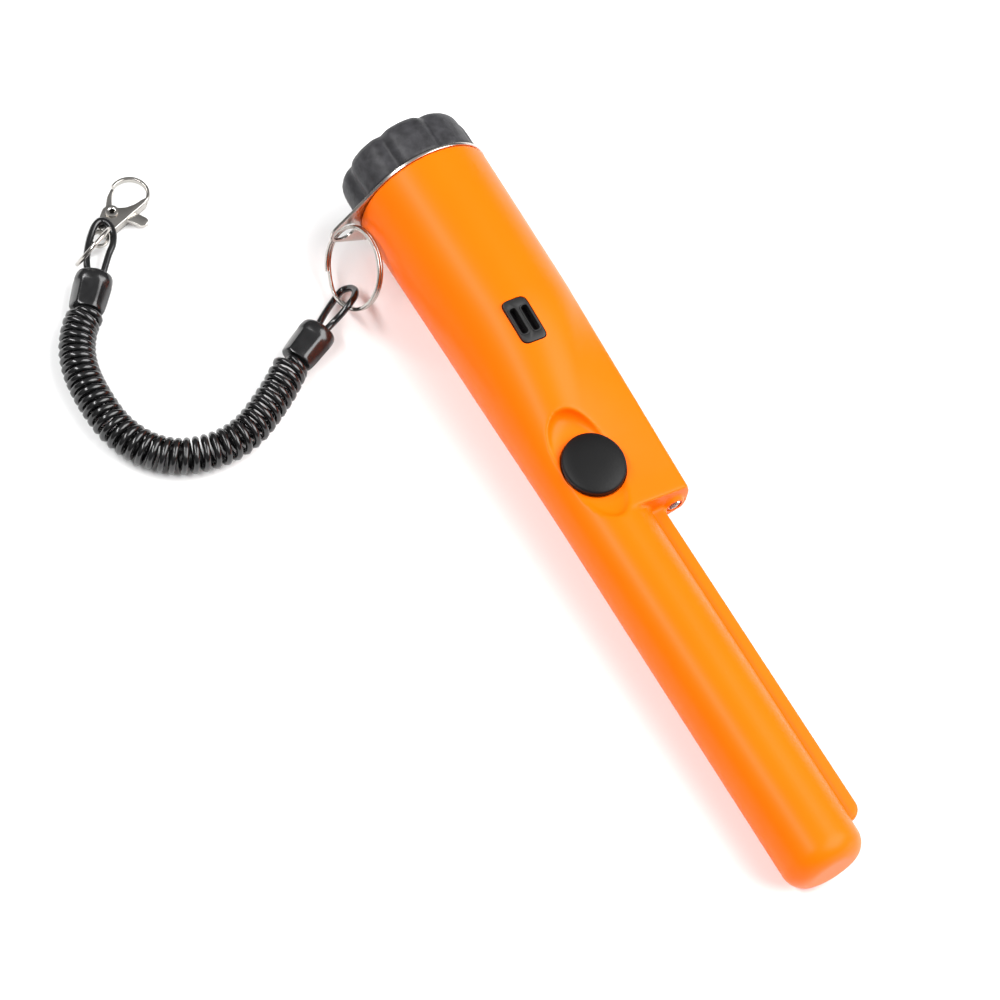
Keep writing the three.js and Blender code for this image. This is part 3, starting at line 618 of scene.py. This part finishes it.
def combine(base, others, operation):
    for other in others:
        cut = base.modifiers.new("cut", "BOOLEAN")
        cut.operation = operation
        cut.object = other
        cut.solver = "EXACT"
        applied(base)
        bpy.data.objects.remove(other)
    return base


def span_list(start, end, step):
    count = max(1, round((end - start) / step))
    return [start + (end - start) * i / count for i in range(count + 1)]


def solid_body(inset, start, end, step, count):
    made = bmesh.new()
    skin(made, [body_section(x, inset, count) for x in span_list(start, end, step)])
    return as_object("body_loft", made)


x_axis = Matrix.Rotation(math.pi / 2, 4, "Y")


def lathed_along_x(profile, y=0, z=0, count=72):
    made = bmesh.new()
    lathe(made, profile, Matrix.Translation(Vector((0, y, z)) * mm) @ x_axis, count)
    return as_object("turned", made)


def extruded(outline, low, high, place=Matrix.Identity(4), edge=0.01):
    made = bmesh.new()
    plate(made, [outline], low, high, edge, place)
    return as_object("extruded", made)


def oval(cx, cy, size_x, size_y, count=72):
    turns = [i * 2 * math.pi / count for i in range(count)]
    return [(cx + size_x / 2 * math.cos(a), cy + size_y / 2 * math.sin(a)) for a in turns]


rod_axis = rod_radius - rod_side
rod_profile = [(taper_end - 4, rod_radius)] + [(length - tip_rounding + tip_rounding * math.sin(a),
                                                rod_radius - tip_rounding + tip_rounding * math.cos(a))
                                               for a in [i * math.pi / 24 for i in range(13)]]
ridge_end = 221
ridge_top = 7.7
ridge_corner = 3.4
ridge_half = 1.3
ridge_outline = ([(step_x - 4, ridge_top), (step_x - 4, 0), (ridge_end, 0)]
                 + arc(ridge_end - ridge_corner, ridge_top - ridge_corner, ridge_corner, 0, 90, 10))
lamp_y = 10.8
lamp_rim = 3.1
lamp_bore = 2.35
button_x = 109.7
button_y = -5
button_size = (18.4, 17)
button_rise = 3.2
seat_x = 109.8
seat_y = -6.2
seat_floor = 9
shell = solid_body(0, mouth_x, step_x, 2.2, 144)
combine(shell, [lathed_along_x(rod_profile, rod_axis), extruded(ridge_outline, -ridge_half, ridge_half),
                lathed_along_x([(step_x - 3, lamp_rim), (step_x + 1.1, lamp_rim)], lamp_y)], "UNION")
seat_place = (Matrix.Translation(Vector((seat_x, seat_y, seat_floor)) * mm)
              @ Matrix.Diagonal((16.5, 8.8, 1, 1)))
scoop_mesh = bmesh.new()
lathe(scoop_mesh, [(0, 0.01), (0, 0.6), (0.1, 0.72), (0.4, 0.83), (1.1, 0.92), (2.4, 0.975), (4.5, 1),
                   (7, 1.01), (16, 1.03)], seat_place, 96)
combine(shell, [as_object("scoop", scoop_mesh)], "DIFFERENCE")
fine_voxel = 0.42
even = shell.modifiers.new("even", "REMESH")
even.mode = "VOXEL"
even.voxel_size = fine_voxel * mm
soften = shell.modifiers.new("soften", "SMOOTH")
soften.factor = 0.5
soften.iterations = 10
applied(shell)
bay = [(mouth_x - 1, bore_radius), (grip_end, bore_radius - 0.2)]
grille_x = 68.3
grille_y = -2.1
grille_place = (Matrix.Translation(Vector((grille_x, grille_y, 17.8)) * mm)
                @ Matrix.Rotation(math.radians(5.8), 4, "Y"))


def leaning_rectangle(size_x, size_y, corner, lean=0.1):
    half_x, half_y = size_x / 2, size_y / 2
    points = rounded_outline([(half_x, -half_y), (half_x, half_y), (-half_x, half_y), (-half_x, -half_y)],
                             corner)
    return [(x + lean * y, y) for x, y in points]


hollow = solid_body(wall, grip_end - 1, step_x - 2.4, 6, 48)
combine(shell, [lathed_along_x(bay, count=48)], "DIFFERENCE")
pocket_floor = extruded(oval(seat_x, seat_y, 36, 20.6, 48), seat_floor - 1.6, 25)
combine(hollow, [lathed_along_x([(taper_end - 8, rod_radius - wall), (length - 5, rod_radius - wall),
                                 (length - 3.5, rod_radius - 4)], rod_axis, count=48)], "UNION")
combine(hollow, [pocket_floor], "DIFFERENCE")
combine(shell, [hollow, extruded(oval(button_x, button_y, *button_size), seat_floor - 0.9, 14),
                extruded(oval(button_x, button_y, 6.6, 6.6, 32), 0, 14),
                extruded(leaning_rectangle(13.2, 7, 2), -6, 6, grille_place),
                lathed_along_x([(step_x - 4, lamp_bore), (step_x + 3, lamp_bore)], lamp_y, count=32)],
        "DIFFERENCE")


def moulded(name, tone, roughness, grain_scale, grain_depth, spread=0.06, gloss_level=0.5,
            tone_scale=55):
    """Moulded plastic or rubber: a spark-eroded grain, a slow change of tone and an uneven gloss."""
    made = bpy.data.materials.new(name)
    made.use_nodes = True
    nodes, links = made.node_tree.nodes, made.node_tree.links
    surface = nodes["Principled BSDF"]
    surface.inputs["Specular IOR Level"].default_value = gloss_level
    place = nodes.new("ShaderNodeTexCoord")
    slow = nodes.new("ShaderNodeTexNoise")
    slow.inputs["Scale"].default_value = tone_scale
    slow.inputs["Detail"].default_value = 3
    links.new(place.outputs["Object"], slow.inputs["Vector"])
    grain = nodes.new("ShaderNodeTexNoise")
    grain.inputs["Scale"].default_value = grain_scale
    grain.inputs["Detail"].default_value = 4
    links.new(place.outputs["Object"], grain.inputs["Vector"])
    shade = nodes.new("ShaderNodeValToRGB")
    shade.color_ramp.elements[0].position = 0.3
    shade.color_ramp.elements[0].color = (*[channel * (1 - spread) for channel in tone], 1)
    shade.color_ramp.elements[1].position = 0.7
    shade.color_ramp.elements[1].color = (*[min(1, channel * (1 + spread)) for channel in tone], 1)
    links.new(slow.outputs["Fac"], shade.inputs["Fac"])
    links.new(shade.outputs["Color"], surface.inputs["Base Color"])
    gloss = nodes.new("ShaderNodeMapRange")
    gloss.inputs["To Min"].default_value = roughness * 0.88
    gloss.inputs["To Max"].default_value = roughness * 1.12
    links.new(grain.outputs["Fac"], gloss.inputs["Value"])
    links.new(gloss.outputs["Result"], surface.inputs["Roughness"])
    relief = nodes.new("ShaderNodeBump")
    relief.inputs["Strength"].default_value = 0.5
    relief.inputs["Distance"].default_value = grain_depth * mm
    links.new(grain.outputs["Fac"], relief.inputs["Height"])
    links.new(relief.outputs["Normal"], surface.inputs["Normal"])
    return made


orange = moulded("orange_finish", (0.95, 0.142, 0.0003), 0.36, 2600, 0.02, 0.02, 0.12)


def finished_shell(name, thing, finish, body, replaced):
    """A solid made by joins and cuts becomes a piece."""
    mesh = thing.data
    mesh.transform(laid_down)
    for face in mesh.polygons:
        face.use_smooth = True
    mesh.set_sharp_from_angle(angle=math.radians(42))
    mesh.materials.clear()
    mesh.materials.append(finish)
    thing.name = mesh.name = name
    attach(thing, body)
    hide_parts(*replaced)
    return thing


finished_shell("body_moulding", shell, orange, "probe", ["body_shell"])

# Battery cap. Charcoal nylon with broad grip lobes, a bevelled rear rim and a fine moulded
# grain. It screws into the grip by a short threaded spigot and clamps the lanyard washer.
cap_length = 13
lobe_count = 8
lobe_groove = math.radians(25.5)
thread_pitch = 2.5
thread_root = 15.45
thread_height = 0.5
thread_rows = 34
thread_row_step = 0.19
cap_steps = 240
cap_angles = [i * 2 * math.pi / cap_steps for i in range(cap_steps)]


def lobe_depth(angle):
    """How far the skirt lies inside its full radius: narrow scallops between broad lobes."""
    pitch = 2 * math.pi / lobe_count
    off = (angle - lobe_groove + pitch / 2) % pitch - pitch / 2
    return 1.15 * math.exp(-(off / math.radians(6)) ** 2) + 0.3 * (1 - abs(off) / (pitch / 2))


# distance from the rear face, radius, share of the lobe depth
cap_profile = [(0, 0.01, 0), (0, 6, 0), (0, 12, 0), (0.02, 14, 0.45), (0.12, 14.8, 0.7),
               (0.45, 15.8, 0.9), (0.9, 16.7, 1), (1.5, 17.45, 1.1), (2.3, 18.05, 1.1), (3.2, 18.4, 1),
               (4.4, 18.62, 1), (6, 18.7, 1), (8, 18.7, 1), (10, 18.7, 1), (11.8, 18.7, 1),
               (12.5, 18.66, 1), (12.85, 18.45, 1), (13, 18.1, 1), (13, 16.6, 0)]
cap_mesh = bmesh.new()
cap_rings = []
for x, radius, lobed in cap_profile:
    cap_rings.append([Vector((x, (radius - lobed * lobe_depth(a)) * -math.sin(a),
                              (radius - lobed * lobe_depth(a)) * math.cos(a))) * mm
                      for a in cap_angles])
for k in range(thread_rows):
    x = cap_length + 0.05 + k * thread_row_step
    ring = []
    for angle in cap_angles:
        wave = abs(((x / thread_pitch - angle / (2 * math.pi)) % 1) * 2 - 1)
        crest = max(0, min(1, (0.75 - wave) * 3)) if x > mouth_x + 0.2 else 0
        radius = thread_root + thread_height * crest
        ring.append(Vector((x, -radius * math.sin(angle), radius * math.cos(angle))) * mm)
    cap_rings.append(ring)
inside_profile = [(cap_length + 6.4, 15.2), (cap_length + 6.4, 14.2), (cap_length + 6, 14), (4, 14),
                  (3, 13.6), (3, 0.01)]
for x, radius in inside_profile:
    cap_rings.append([Vector((x, -radius * math.sin(a), radius * math.cos(a))) * mm
                      for a in cap_angles])
skin(cap_mesh, [[laid_down @ point for point in ring] for ring in cap_rings])
charcoal = moulded("charcoal_finish", (0.027, 0.0265, 0.0295), 0.5, 1100, 0.2, 0.4, 0.3, 420)
piece("cap_moulding", cap_mesh, charcoal, "cap", ["battery_cap"])

# Lanyard washer. Blanked from bright steel sheet: a ring between cap and grip, drawn out on one
# side to a lug with the hole for the split ring.
lug_reach = 23.8
lug_angle = math.radians(186.3)
lug_radius = 4.3
lug_hole = 3.4
washer_radius = 19.23
washer_thickness = 0.8
lug_y = lug_reach * math.cos(lug_angle)
lug_z = lug_reach * math.sin(lug_angle)
tangent = math.degrees(math.acos((washer_radius - lug_radius) / lug_reach))
lug_degrees = math.degrees(lug_angle)
washer_outline = (arc(0, 0, washer_radius, lug_degrees + tangent, lug_degrees + 360 - tangent, 90)
                  + arc(lug_y, lug_z, lug_radius, lug_degrees - tangent, lug_degrees + tangent, 20))
across_axis = Matrix(((0, 0, 1, 0), (1, 0, 0, 0), (0, 1, 0, 0), (0, 0, 0, 1)))
washer_mesh = bmesh.new()
plate(washer_mesh,
      [washer_outline, arc(0, 0, bore_radius, 0, 357, 120), arc(lug_y, lug_z, lug_hole, 0, 352, 45)],
      washer_x, washer_x + washer_thickness, 0.14, laid_down @ across_axis)
washer_plate = plated_metal("washer_plate", (0.6, 0.57, 0.54), 0.24, 1200)
piece("washer_blank", washer_mesh, washer_plate, "washer", ["lanyard_washer"])

# Split ring. Flat spring wire wound two turns, with a crossing where one turn steps up to the
# other. It goes through the washer's lug and carries the cord's loop.
ring_radius = 11
ring_slope = math.radians(62)
ring_yaw = math.radians(3.6)
ring_hang = 1.35
ring_gap = math.radians(50)
ring_turn_step = 0.8
ring_up = Vector((0, math.cos(ring_slope), math.sin(ring_slope)))
ring_out = Vector((1, 0, 0))
ring_out.rotate(Matrix.Rotation(-ring_yaw, 3, ring_up))
ring_normal = ring_out.cross(ring_up)
ring_centre = (Vector((washer_x + 0.4, lug_y, lug_z)) - ring_up * (lug_radius + lug_hole) / 2
               + ring_out * (ring_radius - ring_hang))
wire_section = [(0.5 * math.copysign(abs(math.cos(a)) ** 0.45, math.cos(a)) * mm,
                 0.38 * math.copysign(abs(math.sin(a)) ** 0.45, math.sin(a)) * mm)
                for a in [i * 2 * math.pi / 20 for i in range(20)]]
ring_start = math.radians(285)
ring_mesh = bmesh.new()
ring_path = []
turn_steps = 230
for i in range(turn_steps + 1):
    turned = i / turn_steps * (4 * math.pi - ring_gap)
    step_up = smooth_step((turned - 2 * math.pi + ring_gap) / ring_gap)
    angle = ring_start + turned
    outward = ring_out * math.cos(angle) + ring_up * math.sin(angle)
    spot = ring_centre + outward * ring_radius + ring_normal * (step_up - 0.5) * ring_turn_step
    ring_path.append((laid_down @ (spot * mm), laid_down.to_3x3() @ outward,
                      laid_down.to_3x3() @ ring_normal))
swept(ring_mesh, ring_path, wire_section, False)
piece("split_ring_wire", ring_mesh, bright_plate, "ring", ["split_ring"])

# Push button. A soft black silicone pad with a low dome, held by its rim in the seat's well,
# with a stem that reaches down to the switch.
rubber = moulded("button_finish", (0.004, 0.004, 0.0042), 0.5, 1900, 0.05, 0.2, 0.2)
button_mesh = bmesh.new()
button_place = laid_down @ Matrix.Translation(Vector((button_x, button_y, seat_floor)) * mm)
button_shape = button_place @ Matrix.Diagonal((button_size[0] / 2 - 0.3, button_size[1] / 2 - 0.3, 1, 1))
dome = [(0.12, 0.3), (0.06, 0.7), (-0.1, 0.92), (-0.13, 0.965), (-0.05, 0.99), (0.2, 1), (1.6, 1)]
dome += [(button_rise - drop, share) for drop, share in
         [(1.35, 0.993), (1.15, 0.975), (0.98, 0.945), (0.75, 0.88), (0.5, 0.78), (0.3, 0.66),
          (0.16, 0.52), (0.06, 0.38), (0.02, 0.22), (0, 0.08), (0, 0.01)]]
lathe(button_mesh, dome, button_shape, 96)
lathe(button_mesh, [(-3.5, 1.2), (-3.4, 1.6), (-2, 2.9), (0.3, 2.9)], button_place, 32)
piece("button_moulding", button_mesh, rubber, "button", ["button_pad"])

# Grille. A black insert set flush in the grip, with a raised rim round each of its two sound
# slots. Fine gauze behind it keeps dirt from the sounder.
grille_black = moulded("grille_finish", (0.011, 0.0105, 0.0105), 0.48, 1500, 0.05, 0.2, 0.35)
grille_mesh = bmesh.new()
on_slope = laid_down @ grille_place
slot_shapes = [[(x - 0.2, y - 1.6) for x, y in leaning_rectangle(7.6, 1.9, 0.92, 0)],
               [(x + 0.2, y + 1.6) for x, y in leaning_rectangle(7.6, 1.9, 0.92, 0)]]
plate(grille_mesh, [leaning_rectangle(12.8, 6.6, 1.85), *slot_shapes], -2.8, 0.05, 0.3, on_slope)
for shape in slot_shapes:
    middle = (sum(x for x, y in shape) / len(shape), sum(y for x, y in shape) / len(shape))
    wider = [(middle[0] + (x - middle[0]) * 1.08, middle[1] + (y - middle[1]) * 1.36) for x, y in shape]
    plate(grille_mesh, [wider, shape], -0.2, 0.3, 0.14, on_slope)
piece("grille_moulding", grille_mesh, grille_black, "probe", ["grille_insert"])

# Lamp lens. A small clear dome pressed into the rim in the step face, which lights the hole.
clear = bpy.data.materials.new("lens_finish")
clear.use_nodes = True
clear_surface = clear.node_tree.nodes["Principled BSDF"]
clear_surface.inputs["Base Color"].default_value = (0.98, 0.95, 0.93, 1)
clear_surface.inputs["Transmission Weight"].default_value = 1
clear_surface.inputs["IOR"].default_value = 1.49
lens_haze = clear.node_tree.nodes.new("ShaderNodeTexNoise")
lens_haze.inputs["Scale"].default_value = 900
lens_gloss = clear.node_tree.nodes.new("ShaderNodeMapRange")
lens_gloss.inputs["To Min"].default_value = 0.05
lens_gloss.inputs["To Max"].default_value = 0.18
clear.node_tree.links.new(lens_haze.outputs["Fac"], lens_gloss.inputs["Value"])
clear.node_tree.links.new(lens_gloss.outputs["Result"], clear_surface.inputs["Roughness"])
lens_mesh = bmesh.new()
lens_place = laid_down @ Matrix.Translation(Vector((step_x, lamp_y, 0)) * mm) @ x_axis
lens_radius = 2.0
lens_dome = 0.9
dome_foot = 0.4
lathe(lens_mesh, [(-2.6, 0.01), (-2.6, 1.9), (-2.5, lens_radius), (dome_foot, lens_radius)]
      + [(dome_foot + lens_dome * math.sin(a), lens_radius * math.cos(a))
         for a in [i * math.pi / 18 for i in range(1, 9)]]
      + [(dome_foot + lens_dome, 0.01)], lens_place, 40)
piece("lens_dome", lens_mesh, clear, "probe", ["lamp_lens"])

# Inner pieces. They stay as they are in the frame and get their own finishes: battery and clip,
# circuit board, switch, sounder, motor, lamp, and the search coil in the rod.


def dress(finish, *names):
    for name in names:
        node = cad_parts[name]
        node.data.materials.clear()
        node.data.materials.append(finish)


dress(moulded("seal_finish", (0.01, 0.01, 0.01), 0.4, 900, 0.03, 0.2), "cap_seal")
dress(moulded("foam_finish", (0.045, 0.045, 0.048), 0.95, 700, 0.35, 0.3, 0.1), "cap_pad",
      "coil_collar_rear", "coil_collar_tip")
dress(moulded("battery_finish", (0.05, 0.075, 0.12), 0.35, 500, 0.02, 0.1), "battery_case")
dress(plated_metal("terminal_finish", (0.72, 0.71, 0.69), 0.3), "terminal_plus", "terminal_minus")
dress(moulded("connector_finish", (0.012, 0.012, 0.013), 0.55, 1200, 0.05, 0.2), "snap_connector",
      "switch_body", "switch_plunger", "sounder", "control_chip")
dress(moulded("red_lead_finish", (0.45, 0.012, 0.01), 0.4, 900, 0.03), "lead_red")
dress(moulded("black_lead_finish", (0.012, 0.012, 0.012), 0.4, 900, 0.03), "lead_black")
dress(moulded("grey_lead_finish", (0.3, 0.3, 0.31), 0.45, 900, 0.03), "lamp_lead")
dress(moulded("carrier_finish", (0.68, 0.66, 0.6), 0.5, 1300, 0.04), "board_carrier")
dress(moulded("board_finish", (0.012, 0.14, 0.045), 0.3, 650, 0.03, 0.25), "circuit_board")
dress(moulded("capacitor_finish", (0.02, 0.035, 0.14), 0.3, 600, 0.02, 0.1), "storage_capacitor")
dress(moulded("gauze_finish", (0.03, 0.022, 0.025), 0.85, 2400, 0.2, 0.4, 0.2), "sound_gauze")
dress(plated_metal("motor_finish", (0.6, 0.59, 0.58), 0.32), "motor_can", "motor_shaft")
dress(plated_metal("weight_finish", (0.32, 0.29, 0.26), 0.5), "motor_weight")
dress(moulded("lamp_finish", (0.8, 0.78, 0.7), 0.15, 400, 0.01), "lamp")
dress(moulded("ferrite_finish", (0.03, 0.027, 0.026), 0.7, 1100, 0.12, 0.2), "ferrite_rod")
dress(moulded("bobbin_finish", (0.72, 0.68, 0.58), 0.45, 1000, 0.03), "coil_bobbin")
dress(plated_metal("copper_finish", (0.62, 0.27, 0.12), 0.35, 1500), "search_winding", "coil_lead")
